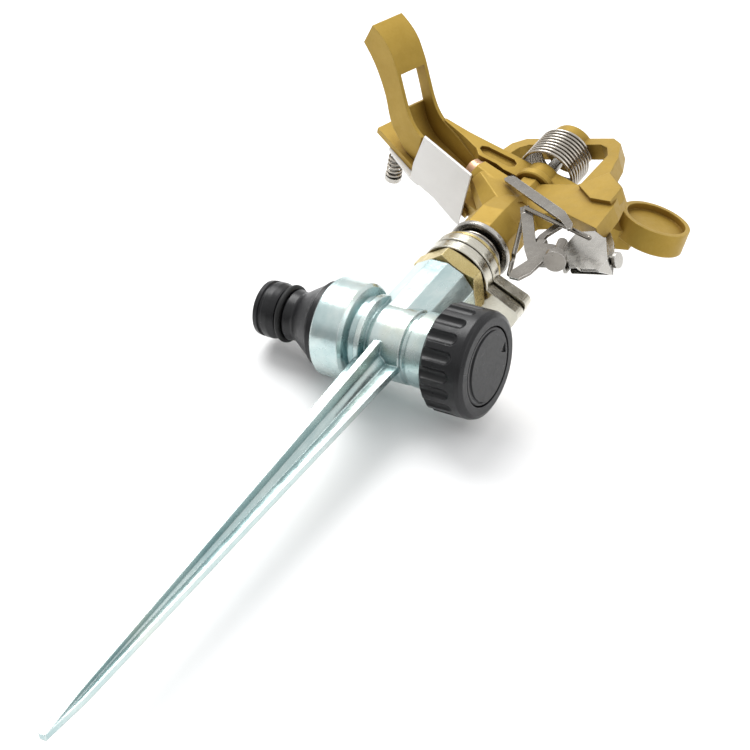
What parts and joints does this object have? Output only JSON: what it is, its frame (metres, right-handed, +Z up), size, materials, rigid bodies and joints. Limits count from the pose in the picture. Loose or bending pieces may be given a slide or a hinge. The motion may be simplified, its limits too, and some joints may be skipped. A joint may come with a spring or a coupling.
{
  "type": "part-circle impact sprinkler on ground spike",
  "caption": "Metal part-circle impact sprinkler on a cast ground spike, with side hose plug, flow knob, swinging arm, jet deflector and trip collars.",
  "frame": {"origin": "ground line on the spike's axis, 20 mm below the hose inlet axis", "axes": "+Z up the axis the head turns on, -X towards the hose plug, +X towards the flow knob, -Y the side the nozzle's arm swings to"},
  "size_m": [0.1187, 0.0664, 0.3038],
  "materials": {
    "black_plastic": "black glass-filled plastic",
    "brass": "machined brass",
    "copper": "copper-coloured nozzle",
    "dark_steel": "dark stainless steel",
    "gold_cast": "satin golden brass casting",
    "rubber": "black rubber",
    "steel": "stainless steel",
    "white_steel": "pale coated sheet steel",
    "zinc": "zinc-plated die casting"
  },
  "bodies": {
    "base": {"spike_casting": "zinc", "hose_plug": "black_plastic", "plug_oring": "rubber", "inlet_seal": "rubber", "valve_gland": "brass", "stem_oring": "rubber", "bearing_nipple": "brass", "sleeve_rim": "brass", "thrust_washer": "steel", "top_seal": "rubber", "lower_seal": "rubber", "bearing_spring": "steel"},
    "knob": {"flow_knob": "black_plastic", "knob_cap": "black_plastic", "valve_stem": "brass", "valve_disc": "rubber"},
    "collar_low": {"trip_collar_low": "steel"},
    "collar_high": {"trip_collar_high": "steel"},
    "head": {"head_body": "gold_cast", "nozzle_tip": "copper", "lower_ring": "steel", "flow_tube": "brass", "fulcrum_pin": "steel", "arm_spring": "steel", "trip_bracket": "steel", "bracket_rivet": "steel", "trip_pin": "steel"},
    "arm": {"impact_arm": "gold_cast", "arm_bush": "black_plastic"},
    "deflector": {"deflector_flap": "white_steel"},
    "deflector_screw": {"deflector_screw": "steel", "deflector_spring": "steel"},
    "trip_lever": {"trip_lever": "dark_steel"},
    "reverse_blade": {"reverse_blade": "dark_steel"}
  },
  "joints": [
    {"name": "flow_knob_turn", "type": "hinge", "parent": "base", "child": "knob", "pos_m": [0.025, 0, 0.02], "axis": [1, 0, 0], "range_deg": [-270, 0]},
    {"name": "collar_low_turn", "type": "hinge", "parent": "base", "child": "collar_low", "pos_m": [0, 0, 0.058], "axis": [0, 0, 1], "continuous": true},
    {"name": "collar_high_turn", "type": "hinge", "parent": "base", "child": "collar_high", "pos_m": [0, 0, 0.062], "axis": [0, 0, 1], "continuous": true},
    {"name": "head_swivel", "type": "hinge", "parent": "base", "child": "head", "pos_m": [0, 0, 0.08], "axis": [0, 0, 1], "continuous": true},
    {"name": "arm_swing", "type": "hinge", "parent": "head", "child": "arm", "pos_m": [0, 0, 0.113], "axis": [0, 0, 1], "range_deg": [0, 90], "stiffness_Nm_per_rad": 0.02, "springref_deg": -28.65},
    {"name": "deflector_tilt", "type": "hinge", "parent": "head", "child": "deflector", "pos_m": [-0.053, -0.00313, 0.1106], "axis": [0.2924, -0.9563, 0], "range_deg": [-20, 0]},
    {"name": "deflector_screw_turn", "type": "hinge", "parent": "head", "child": "deflector_screw", "pos_m": [-0.05373, -0.00074, 0.1106], "axis": [0.2924, -0.9563, 0], "continuous": true},
    {"name": "trip_lever_toggle", "type": "hinge", "parent": "head", "child": "trip_lever", "pos_m": [0.03422, -0.00739, 0.07], "axis": [-0.9744, 0.225, 0], "range_deg": [-8, 0]},
    {"name": "reverse_blade_toggle", "type": "hinge", "parent": "head", "child": "reverse_blade", "pos_m": [0.02545, -0.00536, 0.07], "axis": [-0.9744, 0.225, 0], "range_deg": [-4.8, 0]}
  ],
  "couplings": [
    {"joint": "reverse_blade_toggle", "follows": "trip_lever_toggle", "ratio": 0.6}
  ]
}
